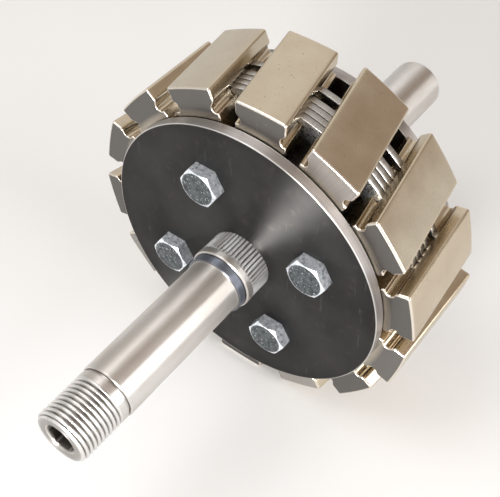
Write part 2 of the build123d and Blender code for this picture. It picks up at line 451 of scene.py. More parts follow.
def stamped_steel(name):
    """Core plates: rolled faces, and a bright sheared edge with marks across the sheet; a painted
    highlight on the front rim edge and painted shade on the rear one, in the gaps between plates.
    """
    finish = Finish(name)
    tree = finish.tree
    sheared = grain(tree, stretched(tree, finish.place, (2200.0, 160.0, 2200.0)), 1.0)
    patches = grain(tree, finish.place, 200.0, 4.0)
    worn_and_lit = named_value(tree, "edge_wear_and_highlight")
    colour = mottled(tree, patches, (0.30, 0.29, 0.28), (0.48, 0.47, 0.45))
    colour = blend_colours(tree, spread(tree, sheared, 0.3, 0.7, 0.0, 0.4), colour, (0.72, 0.71, 0.70))
    # Painted highlight on the front rim edge of each plate, with edge wear.
    colour = tinted(tree, colour, worn_and_lit, 0.8, (0.85, 0.85, 0.84))
    # Painted shade on the rear rim edge, in the gap between plates.
    groove_shade = named_value(tree, "painted_groove_shade")
    colour = tinted(tree, colour, groove_shade, 0.9, (0.04, 0.035, 0.03))
    finish.paint(colour, spread(tree, sheared, 0.3, 0.7, 0.22, 0.42))
    finish.relief(sheared, 0.000003)
    return finish.material


def bright_zinc(name):
    """Zinc on the bolts and nuts: bluish-white flats, end faces painted dark as a dark reflection with
    light chips, and a painted highlight along the rounded edges.
    """
    finish = Finish(name, metallic=0.6)
    tree = finish.tree
    blotches = grain(tree, finish.place, 900.0, 5.0)
    fine = grain(tree, finish.place, 3600.0)
    chips = spread(tree, grain(tree, finish.place, 1500.0, 2.0), 0.62, 0.67, 0.0, 1.0)
    worn_and_lit = named_value(tree, "edge_wear_and_highlight")
    flats = mottled(tree, blotches, (0.50, 0.54, 0.60), (0.86, 0.89, 0.94))
    # End faces painted dark, mottled, as a dark reflection.
    face = mottled(tree, blotches, (0.028, 0.034, 0.038), (0.08, 0.092, 0.096))
    face = tinted(tree, face, chips, 0.6, (0.60, 0.63, 0.64))
    end_face = end_face_share(tree, finish.normal, 0.90, 0.98)
    colour = blend_colours(tree, end_face, flats, face)
    # Painted highlight along the rounded edges, standing also for edge wear.
    colour = tinted(tree, colour, worn_and_lit, 0.5, (0.70, 0.74, 0.76))
    finish.paint(colour, spread(tree, blotches, 0.35, 0.65, 0.26, 0.38))
    finish.relief(calc(tree, "ADD", fine, blotches), 0.000002)
    return finish.material


def camera_and_mirror_rays(tree):
    """1 for what the camera, a gloss or a glass sees, 0 for the light on the object."""
    path = add(tree, "ShaderNodeLightPath")
    return calc(tree, "MAXIMUM", path.outputs["Is Camera Ray"],
                calc(tree, "MAXIMUM", path.outputs["Is Glossy Ray"], path.outputs["Is Transmission Ray"]))


def floor_paint(name):
    """Plain pale floor, very slightly uneven, that fades into the pale backdrop far from the rotor."""
    finish = Finish(name, metallic=0.0)
    tree = finish.tree
    patches = grain(tree, finish.place, 6.0)
    colour = blend_colours(tree, patches, (0.79, 0.79, 0.79), (0.82, 0.82, 0.82))
    finish.paint(colour, spread(tree, grain(tree, finish.place, 800.0), 0.3, 0.7, 0.75, 0.9))
    glow = add(tree, "ShaderNodeEmission")
    feed(tree, glow.inputs["Color"], BACKDROP)
    distance = add(tree, "ShaderNodeVectorMath", operation="LENGTH")
    feed(tree, distance.inputs[0], finish.place)
    far = spread(tree, distance.outputs["Value"], 0.3, 1.0, 0.0, 1.0)
    mixed = add(tree, "ShaderNodeMixShader")
    feed(tree, mixed.inputs[0], calc(tree, "MULTIPLY", far, camera_and_mirror_rays(tree)))
    feed(tree, mixed.inputs[1], finish.shader.outputs[0])
    feed(tree, mixed.inputs[2], glow.outputs[0])
    feed(tree, tree.nodes["Material Output"].inputs["Surface"], mixed.outputs[0])
    return finish.material


def build_world():
    """A studio that is pale at the horizon, cream to the left above and brown to the right above."""
    world = bpy.data.worlds.new("studio")
    world.use_nodes = True
    tree = world.node_tree
    background = tree.nodes["Background"]
    way = add(tree, "ShaderNodeTexCoord")
    parts = add(tree, "ShaderNodeSeparateXYZ")
    feed(tree, parts.inputs[0], way.outputs["Generated"])
    side, height = parts.outputs["X"], parts.outputs["Z"]
    colour = blend_colours(tree, spread(tree, side, -1.0, -0.5, 0.0, 1.0), (0.60, 0.58, 0.54),
                           (0.97, 0.95, 0.92))
    colour = blend_colours(tree, spread(tree, side, -0.4, 0.25, 0.0, 1.0), colour, (0.44, 0.36, 0.30))
    colour = blend_colours(tree, spread(tree, side, 0.45, 0.85, 0.0, 1.0), colour, (0.62, 0.56, 0.50))
    colour = blend_colours(tree, spread(tree, height, 0.04, 0.25, 1.0, 0.0), colour, BACKDROP)
    feed(tree, background.inputs["Color"], colour)
    strength = spread(tree, camera_and_mirror_rays(tree), 0.0, 1.0, 0.85, 1.0)
    feed(tree, background.inputs["Strength"], strength)
    bpy.context.scene.world = world


def build_floor():
    mesh = bpy.data.meshes.new("floor")
    grid = bmesh.new()
    bmesh.ops.create_grid(grid, x_segments=1, y_segments=1, size=3.0)
    bmesh.ops.translate(grid, verts=grid.verts, vec=(0.0, 0.0, cad_box[0].z))
    grid.to_mesh(mesh)
    grid.free()
    floor = bpy.data.objects.new("floor", mesh)
    bpy.context.scene.collection.objects.link(floor)
    mesh.materials.append(floor_paint("floor_paint"))


# Outlines and solids

def softened(points, radius, support):
    """Round every inner corner of an open outline, with a support point beside each rounding."""
    result = [points[0]]
    for before, corner, after in zip(points, points[1:], points[2:]):
        into = Vector(corner) - Vector(before)
        out = Vector(after) - Vector(corner)
        cut = min(radius, into.length * 0.3, out.length * 0.3)
        start = Vector(corner) - into.normalized() * cut
        end = Vector(corner) + out.normalized() * cut
        if into.length > 4 * (cut + support):
            result.append(tuple(start - into.normalized() * support))
        for share in (0.0, 0.25, 0.5, 0.75, 1.0):
            first = start.lerp(Vector(corner), share)
            second = Vector(corner).lerp(end, share)
            result.append(tuple(first.lerp(second, share)))
        if out.length > 4 * (cut + support):
            result.append(tuple(end + out.normalized() * support))
    result.append(points[-1])
    return result


def ring_of_points(shell, station, radius, columns):
    """One ring about the shaft axis. The radius is a number or a function of the angle."""
    ring = []
    for column in range(columns):
        angle = 2 * math.pi * column / columns
        reach = radius(angle) if callable(radius) else radius
        ring.append(shell.verts.new((reach * math.sin(angle), station, reach * math.cos(angle))))
    return ring


def join_rings(shell, first, second):
    count = len(first)
    for column in range(count):
        beside = (column + 1) % count
        shell.faces.new((first[column], first[beside], second[beside], second[column]))


def close_ring(shell, ring, station):
    """Close a ring to a point on the axis."""
    pole = shell.verts.new((0.0, station, 0.0))
    count = len(ring)
    for column in range(count):
        shell.faces.new((ring[column], ring[(column + 1) % count], pole))


def mesh_from_shell(shell, name, material, sharp_angle=38.0):
    bmesh.ops.recalc_face_normals(shell, faces=shell.faces)
    mesh = bpy.data.meshes.new(name)
    shell.to_mesh(mesh)
    shell.free()
    mesh.materials.append(material)
    mesh.shade_smooth()
    mesh.set_sharp_from_angle(angle=math.radians(sharp_angle))
    return mesh


def turned_solid(rows, columns, wear_and_highlight=None):
    """A closed solid turned about the axis. Rows are (radius, station), a radius of 0 is a pole."""
    shell = bmesh.new()
    # Per-vertex share of painted edge highlight, standing also for edge wear.
    wear_highlight_layer = shell.verts.layers.float.new("edge_wear_and_highlight")
    before = None
    for row_number, (radius, station) in enumerate(rows):
        if radius == 0:
            if before is None:
                pole_station = station
                continue
            close_ring(shell, before, station)
            continue
        ring = ring_of_points(shell, station, radius, columns)
        if wear_and_highlight:
            for vert in ring:
                vert[wear_highlight_layer] = wear_and_highlight[row_number]
        if before is None and row_number > 0:
            close_ring(shell, ring, pole_station)
        elif before is not None:
            join_rings(shell, before, ring)
        before = ring
    return shell


def bored_solid(rows, columns, wear_and_highlight):
    """A closed ring turned about the axis, whose rows run once round its section."""
    shell = bmesh.new()
    # Per-vertex share of painted edge highlight, standing also for edge wear.
    wear_highlight_layer = shell.verts.layers.float.new("edge_wear_and_highlight")
    rings = []
    for (radius, station), wear_and_highlight_amount in zip(rows, wear_and_highlight):
        ring = ring_of_points(shell, station, radius, columns)
        for vert in ring:
            vert[wear_highlight_layer] = wear_and_highlight_amount
        rings.append(ring)
    for first, second in zip(rings, rings[1:] + rings[:1]):
        join_rings(shell, first, second)
    return shell


def hexagon(half):
    """Radius of a hexagon across its flats, as a function of the angle."""
    sixth = math.pi / 3
    return lambda angle: half / math.cos((angle + sixth / 2) % sixth - sixth / 2)


def new_piece(name, mesh):
    piece = bpy.data.objects.new(name, mesh)
    bpy.context.scene.collection.objects.link(piece)
    return piece


def seat(piece, slot, *replaced):
    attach(piece, "root")
    if replaced:
        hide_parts(*replaced)


# Geometry nodes: grooved sleeve, and pieces set around the shaft

def new_tree(name, inputs):
    tree = bpy.data.node_groups.new(name, "GeometryNodeTree")
    for label, kind in inputs:
        tree.interface.new_socket(name=label, in_out="INPUT", socket_type="NodeSocket" + kind)
    tree.interface.new_socket(name="Geometry", in_out="OUTPUT", socket_type="NodeSocketGeometry")
    return tree, tree.nodes.new("NodeGroupInput").outputs, tree.nodes.new("NodeGroupOutput").inputs[0]


def stored(tree, geometry, name, value, domain="POINT"):
    node = add(tree, "GeometryNodeStoreNamedAttribute", data_type="FLOAT", domain=domain)
    feed(tree, node.inputs["Geometry"], geometry)
    feed(tree, node.inputs["Name"], name)
    feed(tree, node.inputs["Value"], value)
    return node.outputs[0]


def hand_over(tree, geometry, material, result):
    """Make copies real, give them their material and pass them out of the tree."""
    real = add(tree, "GeometryNodeRealizeInstances")
    feed(tree, real.inputs[0], geometry)
    painted = add(tree, "GeometryNodeSetMaterial")
    feed(tree, painted.inputs["Geometry"], real.outputs[0])
    feed(tree, painted.inputs["Material"], material)
    feed(tree, result, painted.outputs[0])


def sleeve_tree():
    """A closed tube whose outside carries ridges: round it for a thread, along it for a knurl."""
    tree, given, result = new_tree("grooved_sleeve", [
        ("Start", "Float"), ("Length", "Float"), ("Crest Radius", "Float"), ("Inner Radius", "Float"),
        ("Groove Depth", "Float"), ("Crest Share", "Float"), ("Ridges Around", "Float"),
        ("Ridges Along", "Float"), ("Fade In", "Float"), ("Fade Out", "Float"),
        ("Lead Radius", "Float"), ("Tail Radius", "Float"), ("Rows", "Int"), ("Columns", "Int"),
        ("Material", "Material"),
    ])
    grid = add(tree, "GeometryNodeMeshGrid")
    feed(tree, grid.inputs["Size X"], 1.0)
    feed(tree, grid.inputs["Size Y"], 1.0)
    feed(tree, grid.inputs["Vertices X"], given["Rows"])
    feed(tree, grid.inputs["Vertices Y"], calc(tree, "ADD", given["Columns"], 1.0))
    spot = add(tree, "ShaderNodeSeparateXYZ")
    feed(tree, spot.inputs[0], add(tree, "GeometryNodeInputPosition").outputs[0])
    across = calc(tree, "ADD", spot.outputs["X"], 0.5)
    turn = calc(tree, "ADD", spot.outputs["Y"], 0.5)
    row = calc(tree, "ROUND", calc(tree, "MULTIPLY", across, calc(tree, "SUBTRACT", given["Rows"], 1.0)))
    last = calc(tree, "SUBTRACT", given["Rows"], 1.5)
    share = spread(tree, row, 1.0, calc(tree, "SUBTRACT", given["Rows"], 3.0), 0.0, 1.0)
    share = calc(tree, "MULTIPLY", share, calc(tree, "LESS_THAN", row, last))
    inside = calc(tree, "MAXIMUM", calc(tree, "LESS_THAN", row, 0.5),
                  calc(tree, "GREATER_THAN", row, calc(tree, "SUBTRACT", given["Rows"], 2.5)))
    phase = calc(tree, "ADD", calc(tree, "MULTIPLY", share, given["Ridges Along"]),
                 calc(tree, "MULTIPLY", turn, given["Ridges Around"]))
    phase = calc(tree, "FRACT", phase)
    ridge = calc(tree, "ABSOLUTE", calc(tree, "SUBTRACT", calc(tree, "MULTIPLY", phase, 2.0), 1.0))
    groove = spread(tree, ridge, calc(tree, "SUBTRACT", 1.0, given["Crest Share"]), 0.0, 0.0, 1.0)
    along = calc(tree, "MULTIPLY", share, given["Length"])
    left = calc(tree, "SUBTRACT", given["Length"], along)
    fade = calc(tree, "MULTIPLY", spread(tree, along, 0.0, given["Fade In"], 0.0, 1.0),
                spread(tree, left, 0.0, given["Fade Out"], 0.0, 1.0))
    depth = calc(tree, "MULTIPLY", calc(tree, "MULTIPLY", groove, given["Groove Depth"]), fade)
    radius = calc(tree, "SUBTRACT", given["Crest Radius"], depth)
    radius = calc(tree, "MINIMUM", radius, calc(tree, "ADD", given["Lead Radius"], along))
    radius = calc(tree, "MINIMUM", radius, calc(tree, "ADD", given["Tail Radius"], left))
    radius = calc(tree, "ADD", calc(tree, "MULTIPLY", radius, calc(tree, "SUBTRACT", 1.0, inside)),
                  calc(tree, "MULTIPLY", given["Inner Radius"], inside))
    angle = calc(tree, "MULTIPLY", turn, -2 * math.pi)
    target = add(tree, "ShaderNodeCombineXYZ")
    feed(tree, target.inputs["X"], calc(tree, "MULTIPLY", radius, calc(tree, "SINE", angle)))
    feed(tree, target.inputs["Y"], calc(tree, "ADD", given["Start"], along))
    feed(tree, target.inputs["Z"], calc(tree, "MULTIPLY", radius, calc(tree, "COSINE", angle)))
    # Crests get the painted highlight, with edge wear; grooves get painted shade, weaker where the ridges
    # fade.
    worn_and_lit = stored(tree, grid.outputs["Mesh"], "edge_wear_and_highlight", spread(tree, groove, 0.0, 0.5, 1.0, 0.0))
    groove_shade = calc(tree, "MULTIPLY", spread(tree, groove, 0.35, 1.0, 0.0, 1.0), fade)
    shaped = add(tree, "GeometryNodeSetPosition")
    feed(tree, shaped.inputs["Geometry"], stored(tree, worn_and_lit, "painted_groove_shade", groove_shade))
    feed(tree, shaped.inputs["Position"], target.outputs[0])
    merged = add(tree, "GeometryNodeMergeByDistance")
    feed(tree, merged.inputs["Geometry"], shaped.outputs[0])
    feed(tree, merged.inputs["Distance"], 0.000001)
    hand_over(tree, merged.outputs[0], given["Material"], result)
    return tree


def around_tree():
    """Copies of one piece set round the shaft axis."""
    tree, given, result = new_tree("pieces_around_shaft", [
        ("Geometry", "Geometry"), ("Count", "Int"), ("Circle Radius", "Float"), ("First Angle", "Float"),
        ("Turn Pieces", "Float"), ("Material", "Material"),
    ])
    line = add(tree, "GeometryNodeMeshLine")
    feed(tree, line.inputs["Count"], given["Count"])
    number = add(tree, "GeometryNodeInputIndex").outputs[0]
    step = calc(tree, "DIVIDE", 2 * math.pi, given["Count"])
    angle = calc(tree, "ADD", given["First Angle"], calc(tree, "MULTIPLY", number, step))
    target = add(tree, "ShaderNodeCombineXYZ")
    circle = given["Circle Radius"]
    feed(tree, target.inputs["X"], calc(tree, "MULTIPLY", circle, calc(tree, "SINE", angle)))
    feed(tree, target.inputs["Z"], calc(tree, "MULTIPLY", circle, calc(tree, "COSINE", angle)))
    spots = add(tree, "GeometryNodeSetPosition")
    feed(tree, spots.inputs["Geometry"], line.outputs[0])
    feed(tree, spots.inputs["Position"], target.outputs[0])
    turned = add(tree, "ShaderNodeCombineXYZ")
    feed(tree, turned.inputs["Y"], calc(tree, "MULTIPLY", angle, given["Turn Pieces"]))
    copies = add(tree, "GeometryNodeInstanceOnPoints")
    feed(tree, copies.inputs["Points"], spots.outputs[0])
    feed(tree, copies.inputs["Instance"], given["Geometry"])
    feed(tree, copies.inputs["Rotation"], turned.outputs[0])
    numbered = stored(tree, copies.outputs[0], "piece_number", calc(tree, "ADD", number, 1.0), "INSTANCE")
    hand_over(tree, numbered, given["Material"], result)
    return tree


def grown(name, tree, values, seed=None, sharp_angle=None):
    """Run a tree once and keep its result as a plain mesh."""
    source = new_piece(name + "_source", seed or bpy.data.meshes.new(name + "_seed"))
    modifier = source.modifiers.new("shape", "NODES")
    modifier.node_group = tree
    for item in tree.interface.items_tree:
        if item.item_type == "SOCKET" and item.in_out == "INPUT" and item.name in values:
            modifier[item.identifier] = values[item.name]
    evaluated = source.evaluated_get(bpy.context.evaluated_depsgraph_get())
    mesh = bpy.data.meshes.new_from_object(evaluated)
    bpy.data.objects.remove(source)
    mesh.name = name
    if sharp_angle:
        mesh.shade_smooth()
        mesh.set_sharp_from_angle(angle=math.radians(sharp_angle))
    return new_piece(name, mesh)


# The rotor's pieces

def build_shaft(steel, ring_steel, knurl_steel, thread_steel, sleeve):
    land_start = JOURNAL_END + RING_LENGTH
    knurl_start = land_start + LAND_LENGTH
    knurl_end = REAR_HIGH.y + KNURL_REACH
    land_end = knurl_end + LAND_LENGTH
    ring_end = land_end + RING_LENGTH
    collar = -JOURNAL_END - UNDERCUT_LENGTH - COLLAR_LENGTH
    outside = [
        (NOSE_BORE_R, NOSE_TIP),
        (NOSE_BORE_R, collar),
        (THREAD_R, collar),
        (THREAD_R, collar + COLLAR_LENGTH),
        (UNDERCUT_R, collar + COLLAR_LENGTH),
        (UNDERCUT_R, -JOURNAL_END),
        (JOURNAL_R - JOURNAL_CHAMFER, -JOURNAL_END),
        (JOURNAL_R, -JOURNAL_END + JOURNAL_CHAMFER),
        (JOURNAL_R, JOURNAL_END),
        (RING_R, JOURNAL_END),
        (RING_R, land_start - RING_RECESS),
        (RING_R - RING_RECESS_DEPTH, land_start - RING_RECESS),
        (RING_R - RING_RECESS_DEPTH, land_start),
        (LAND_R - LAND_CHAMFER, land_start),
        (LAND_R, land_start + LAND_CHAMFER),
        (LAND_R, knurl_start),
        (KNURL_BORE_R, knurl_start),
        (KNURL_BORE_R, knurl_end),
        (LAND_R, knurl_end),
        (LAND_R, land_end - LAND_CHAMFER),
        (LAND_R - LAND_CHAMFER, land_end),
        (RING_R - RING_RECESS_DEPTH, land_end),
        (RING_R - RING_RECESS_DEPTH, land_end + RING_RECESS),
        (RING_R, land_end + RING_RECESS),
        (RING_R, ring_end),
        (JOURNAL_R, ring_end),
        (JOURNAL_R, SHAFT_END - REAR_ROUND),
    ]
    rows = softened(outside, 0.12 * MM, 0.15 * MM)
    for step in range(1, 9):
        angle = math.pi / 2 * step / 8
        rows.append((JOURNAL_R - REAR_ROUND * (1 - math.cos(angle)),
                     SHAFT_END - REAR_ROUND * (1 - math.sin(angle))))
    rows += [(JOURNAL_R - REAR_ROUND - 0.3 * MM, SHAFT_END), (2 * MM, SHAFT_END), (0, SHAFT_END)]
    across = hexagon(SOCKET_HALF)
    socket = [
        (0, NOSE_TIP + SOCKET_DEPTH + SOCKET_DRILL),
        (SOCKET_HALF * 0.5, NOSE_TIP + SOCKET_DEPTH + SOCKET_DRILL / 2),
        (SOCKET_HALF, NOSE_TIP + SOCKET_DEPTH),
        (across, NOSE_TIP + SOCKET_DEPTH),
    ]
    for depth in SOCKET_MOUTH_DEPTHS:
        cone = SOCKET_MOUTH_R - depth * MM
        socket.append((lambda angle, cone=cone: max(cone, across(angle)), NOSE_TIP + depth * MM))
    socket.append((SOCKET_MOUTH_R + 0.15 * MM, NOSE_TIP))
    shell = turned_solid(socket + rows, SHAFT_POINTS)
    mesh = mesh_from_shell(shell, "shaft_body", steel)
    mesh.materials.append(ring_steel)
    for face in mesh.polygons:
        station = face.center.y
        front = JOURNAL_END <= station <= land_start
        rear = land_end <= station <= ring_end
        if (front or rear) and face.center.xz.length > JOURNAL_R * 0.97:
            face.material_index = 1
    seat(new_piece("shaft_body", mesh), "shaft_steel", "shaft")

    thread = grown("nose_thread", sleeve, {
        "Start": NOSE_TIP, "Length": collar - NOSE_TIP,
        "Crest Radius": THREAD_R, "Inner Radius": NOSE_BORE_R,
        "Groove Depth": THREAD_DEPTH, "Crest Share": 0.2, "Ridges Around": 1.0,
        "Ridges Along": (collar - NOSE_TIP) / THREAD_PITCH, "Fade In": NO_FADE, "Fade Out": THREAD_RUNOUT,
        "Lead Radius": THREAD_R - NOSE_CHAMFER, "Tail Radius": NO_CHAMFER, "Rows": 144, "Columns": 96,
        "Material": thread_steel,
    }, sharp_angle=60.0)
    seat(thread, "shaft_steel", "shaft")
    knurls = [
        ("front_knurl", knurl_start, FRONT_LOW.y + KNURL_IN_DISC, KNURL_FADE, NO_FADE),
        ("rear_knurl", REAR_HIGH.y - KNURL_IN_DISC, knurl_end, NO_FADE, KNURL_FADE),
    ]
    for name, start, end, fade_in, fade_out in knurls:
        knurl = grown(name, sleeve, {
            "Start": start, "Length": end - start, "Crest Radius": KNURL_R, "Inner Radius": KNURL_BORE_R,
            "Groove Depth": KNURL_DEPTH, "Crest Share": KNURL_CREST, "Ridges Around": float(KNURL_RIBS),
            "Ridges Along": 0.0, "Fade In": fade_in, "Fade Out": fade_out, "Lead Radius": NO_CHAMFER,
            "Tail Radius": NO_CHAMFER, "Rows": 24, "Columns": KNURL_RIBS * 12, "Material": knurl_steel,
        }, sharp_angle=25.0)
        seat(knurl, "shaft_steel", "shaft")


def build_disc(name, low, high, steel):
    """A polished disc, its rim edges softly rounded."""
    edge, support, flat = DISC_EDGE, DISC_SUPPORT, DISC_FLAT_RIM
    rows = [(KNURL_R, low), (DISC_R - flat, low), (DISC_R - edge - support, low)]
    # Share of painted edge highlight, with edge wear, per row: full on the rim roundings.
    wear_and_highlight = [0.0, 0.0, 0.0]
    for step in range(5):
        angle = math.pi / 2 * step / 4
        rows.append((DISC_R - edge + edge * math.sin(angle), low + edge - edge * math.cos(angle)))
        wear_and_highlight.append(1.0 if 0 < step < 4 else 0.2)
    rows += [(DISC_R, low + edge + support), (DISC_R, high - edge - support)]
    wear_and_highlight += [0.0, 0.0]
    for step in range(5):
        angle = math.pi / 2 * step / 4
        rows.append((DISC_R - edge + edge * math.cos(angle), high - edge + edge * math.sin(angle)))
        wear_and_highlight.append(1.0 if 0 < step < 4 else 0.2)
    rows += [(DISC_R - edge - support, high), (DISC_R - flat, high), (KNURL_R, high)]
    wear_and_highlight += [0.0, 0.0, 0.0]
    mesh = mesh_from_shell(bored_solid(rows, DISC_POINTS, wear_and_highlight), name + "_finished", steel)
    seat(new_piece(name + "_finished", mesh), "disc_steel", name)


def arc(first, middle, last, steps):
    """Points after the first one, along the arc through three points."""
    ax, ay = first
    bx, by = middle
    cx, cy = last
    scale = 2 * (ax * (by - cy) + bx * (cy - ay) + cx * (ay - by))
    a_square, b_square, c_square = ax * ax + ay * ay, bx * bx + by * by, cx * cx + cy * cy
    ux = (a_square * (by - cy) + b_square * (cy - ay) + c_square * (ay - by)) / scale
    uy = (a_square * (cx - bx) + b_square * (ax - cx) + c_square * (bx - ax)) / scale
    radius = math.hypot(ax - ux, ay - uy)
    begin = math.atan2(ay - uy, ax - ux)
    through = (math.atan2(by - uy, bx - ux) - begin + math.pi) % (2 * math.pi) - math.pi
    sweep = math.atan2(cy - uy, cx - ux) - begin
    while sweep * through < 0 or abs(sweep) < abs(through):
        sweep += math.copysign(2 * math.pi, through)
    points = []
    for step in range(1, steps + 1):
        angle = begin + sweep * step / steps
        points.append((ux + radius * math.cos(angle), uy + radius * math.sin(angle)))
    return points


def magnet_outline():
    """Right half of the magnet's section from the crown down, each point with its edge rounding."""
    corner = MAGNET_R - CROWN_R + math.sqrt(CROWN_R ** 2 - MAGNET_HALF ** 2)
    crown_stop = MAGNET_HALF - CROWN_EDGE
    crown_v = MAGNET_R - CROWN_R + math.sqrt(CROWN_R ** 2 - crown_stop ** 2)
    points = []
    for step in range(1, 13):
        u = crown_stop * step / 12
        points.append((u, MAGNET_R - CROWN_R + math.sqrt(CROWN_R ** 2 - u ** 2), END_EDGE))
    for step in range(1, 6):
        angle = math.pi / 2 * step / 5
        points.append((crown_stop + CROWN_EDGE * math.sin(angle),
                       corner - CROWN_EDGE * (1 - math.cos(angle)) + (crown_v - corner) * (1 - step / 5),
                       END_EDGE))
    side_end = (MAGNET_HALF - BLOCK_TAPER, MAGNET_R - BLOCK_SIDE_DROP)
    underside = (UNDERSIDE_HALF, MAGNET_R - UNDERSIDE_DROP)
    round_mid = (side_end[0] - 0.18 * MM, side_end[1] - 1.15 * MM)
    neck = (NECK_HALF, MAGNET_R - NECK_DROP)
    foot_top = (FOOT_TOP_HALF, MAGNET_R - FOOT_TOP_DROP)
    points.append((*side_end, END_EDGE))
    for number, (u, v) in enumerate(arc(side_end, round_mid, underside, 6)):
        points.append((u, v, END_EDGE + (FOOT_EDGE - END_EDGE) * (number + 1) / 6))
    points += [(u, v, FOOT_EDGE) for u, v in arc(underside, neck, foot_top, 8)]
    foot_bottom = MAGNET_R - FOOT_BOTTOM_DROP
    points += [
        (FOOT_HALF - 0.15 * MM, foot_top[1], FOOT_EDGE),
        (FOOT_HALF, foot_top[1] - 0.15 * MM, FOOT_EDGE),
        (FOOT_HALF, foot_bottom + 0.15 * MM, FOOT_EDGE),
        (FOOT_HALF - 0.15 * MM, foot_bottom, FOOT_EDGE),
        (STEM_HALF, foot_bottom, FOOT_EDGE),
        (STEM_HALF, MAGNET_R - STEM_DROP, FOOT_EDGE),
    ]
    return points


def inset(points, distances):
    """Move a closed outline inwards, each corner along its mitre. The outline runs clockwise."""
    count = len(points)
    result = []
    for number, (point, distance) in enumerate(zip(points, distances)):
        before = Vector(points[number - 1])
        here = Vector(point)
        after = Vector(points[(number + 1) % count])
        first = (here - before).normalized()
        second = (after - here).normalized()
        normal_a = Vector((first.y, -first.x))
        normal_b = Vector((second.y, -second.x))
        mitre = normal_a + normal_b
        mitre *= distance / max(0.35, mitre.dot(normal_a))
        result.append((here.x + mitre.x, here.y + mitre.y))
    return result


def magnet_mesh(plating):
    """One skewed magnet at the top of the drum, its end faces rounded into the sides."""
    right = magnet_outline()
    outline = [(0.0, MAGNET_R, END_EDGE)] + right + [(-u, v, b) for u, v, b in reversed(right)]
    flat = [(u, v) for u, v, _ in outline]
    edges = [b for _, _, b in outline]
    low, high = MAGNET_LOW.y, MAGNET_HIGH.y
    shell = bmesh.new()
    wear_highlight_layer = shell.verts.layers.float.new("edge_wear_and_highlight")
    steps = 4
    # Rows of each end's rounding: inset, depth, support, share of painted edge highlight (with edge
    # wear).
    rows = [(1 - math.sin(math.pi / 2 * step / steps), 1 - math.cos(math.pi / 2 * step / steps), 0.0,
             1.0 if 0 < step < steps else 0.15) for step in range(steps + 1)]
    rows.append((0.0, 1.0, 0.3 * MM, 0.0))
    rings = []
    for end, inward in ((low, 1.0), (high, -1.0)):
        group = []
        for inwards, depth, support, wear_and_highlight_amount in rows:
            points = inset(flat, [b * inwards for b in edges])
            ring = []
            for (u, v), b in zip(points, edges):
                station = end + inward * (b * depth + support)
                vert = shell.verts.new((u + SKEW * (station - DRUM_MID), station, v))
                vert[wear_highlight_layer] = wear_and_highlight_amount
                ring.append(vert)
            group.append(ring)
        rings += group if inward > 0 else group[::-1]
    for first, second in zip(rings, rings[1:]):
        join_rings(shell, first, second)
    shell.faces.new(rings[0])
    shell.faces.new(rings[-1])
    mesh = mesh_from_shell(shell, "magnet", plating, 42.0)
    for edge in mesh.edges:
        stations = [mesh.vertices[number].co.y for number in edge.vertices]
        if all(min(station - low, high - station) < 0.01 * MM for station in stations):
            edge.use_edge_sharp = True
    return mesh


def build_magnets(plating, around):
    ring = grown("pole_magnets", around, {
        "Count": len(MAGNET_NODES), "Circle Radius": 0.0, "First Angle": 0.0, "Turn Pieces": 1.0,
        "Material": plating,
    }, seed=magnet_mesh(plating))
    seat(ring, "magnet_plating", *MAGNET_NODES)


def plate_outline(station):
    """Outline of a core plate at a station, with its skewed pockets, as (x, z) points."""
    shift = SKEW * (station - DRUM_MID)
    clear = POCKET_CLEAR
    foot_top = MAGNET_R - FOOT_TOP_DROP + clear
    foot_bottom = MAGNET_R - FOOT_BOTTOM_DROP - clear
    lip = UNDERSIDE_HALF + clear
    pocket = [
        (lip, MAGNET_R - UNDERSIDE_DROP),
        (NECK_HALF + clear, MAGNET_R - NECK_DROP),
        (FOOT_TOP_HALF + clear, foot_top),
        (FOOT_HALF + clear, foot_top),
        (FOOT_HALF + clear, foot_bottom),
        (STEM_HALF + clear, foot_bottom),
        (STEM_HALF + clear, MAGNET_R - STEM_DROP - clear),
    ]
    count = len(MAGNET_NODES)
    points = []
    for number in range(count):
        turn = 2 * math.pi * number / count
        section = [(-u + shift, v) for u, v in pocket] + [(u + shift, v) for u, v in reversed(pocket)]
        for u, v in section:
            points.append((u * math.cos(turn) + v * math.sin(turn),
                           v * math.cos(turn) - u * math.sin(turn)))
        rim_start = math.asin((lip + shift) / PLATE_R)
        rim_end = 2 * math.pi / count - math.asin((lip - shift) / PLATE_R)
        for step in range(9):
            angle = turn + rim_start + (rim_end - rim_start) * step / 8
            points.append((PLATE_R * math.sin(angle), PLATE_R * math.cos(angle)))
    return points


